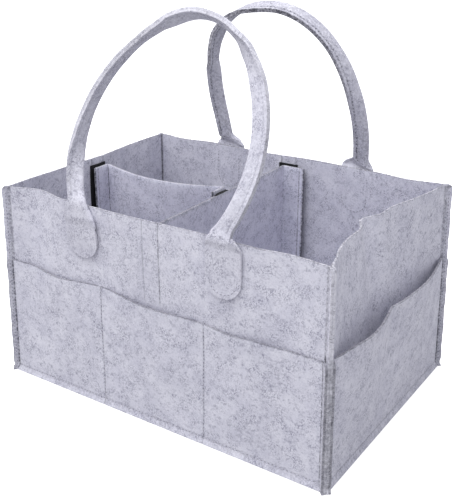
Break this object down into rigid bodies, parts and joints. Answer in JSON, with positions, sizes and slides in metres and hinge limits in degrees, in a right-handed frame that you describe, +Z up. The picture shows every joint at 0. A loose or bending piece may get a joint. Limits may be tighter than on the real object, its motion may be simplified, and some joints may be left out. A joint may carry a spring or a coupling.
{
  "type": "diaper caddy",
  "caption": "Open rectangular felt caddy with outer pockets, two arched strap handles and removable divider inserts held by hook-and-loop tape.",
  "frame": {"origin": "on the floor under the middle of the box", "axes": "+X to the right along the long side, +Y towards the back wall, +Z up; the front wall with the three pockets faces -Y"},
  "size_m": [0.3462, 0.2386, 0.337],
  "materials": {
    "felt_wall": "needle-punched polyester felt, pale grey with a lavender cast and darker mottled fibres",
    "felt_base": "needle-punched polyester felt, pale grey",
    "felt_pocket": "needle-punched polyester felt, pale grey, stitched down between the pockets",
    "felt_strap": "needle-punched polyester felt, folded double and stitched along its edges",
    "felt_divider": "needle-punched polyester felt, single layer",
    "loop_tape": "black loop tape with a soft napped face",
    "hook_tape": "black woven hook tape"
  },
  "bodies": {
    "caddy": {"front_wall": "felt_wall", "back_wall": "felt_wall", "left_wall": "felt_wall", "right_wall": "felt_wall", "base_panel": "felt_base", "front_pocket_panel": "felt_pocket", "back_pocket_panel": "felt_pocket", "left_pocket_panel": "felt_pocket", "right_pocket_panel": "felt_pocket", "front_handle_tongue_left": "felt_strap", "front_handle_tongue_right": "felt_strap", "rear_handle_tongue_left": "felt_strap", "rear_handle_tongue_right": "felt_strap", "front_wall_loop_pad": "loop_tape", "back_wall_loop_pad": "loop_tape", "left_wall_loop_pad": "loop_tape"},
    "front_handle": {"front_handle": "felt_strap"},
    "rear_handle": {"rear_handle": "felt_strap"},
    "cross_divider": {"cross_divider": "felt_divider", "cross_divider_loop_pad": "loop_tape", "cross_divider_hook_front": "hook_tape", "cross_divider_hook_back": "hook_tape"},
    "long_divider": {"long_divider": "felt_divider", "long_divider_hook_left": "hook_tape", "long_divider_hook_right": "hook_tape"}
  },
  "joints": [
    {"name": "front_handle_swing", "type": "hinge", "parent": "caddy", "child": "front_handle", "pos_m": [0, -0.11335, 0.183], "axis": [1, 0, 0], "range_deg": [-17, 185]},
    {"name": "rear_handle_swing", "type": "hinge", "parent": "caddy", "child": "rear_handle", "pos_m": [0, 0.11335, 0.183], "axis": [-1, 0, 0], "range_deg": [-18, 185]},
    {"name": "cross_divider_lift", "type": "slide", "parent": "caddy", "child": "cross_divider", "axis": [0, 0, 1], "range_m": [0, 0.12]},
    {"name": "long_divider_lift", "type": "slide", "parent": "caddy", "child": "long_divider", "axis": [0, 0, 1], "range_m": [0, 0.18]}
  ]
}
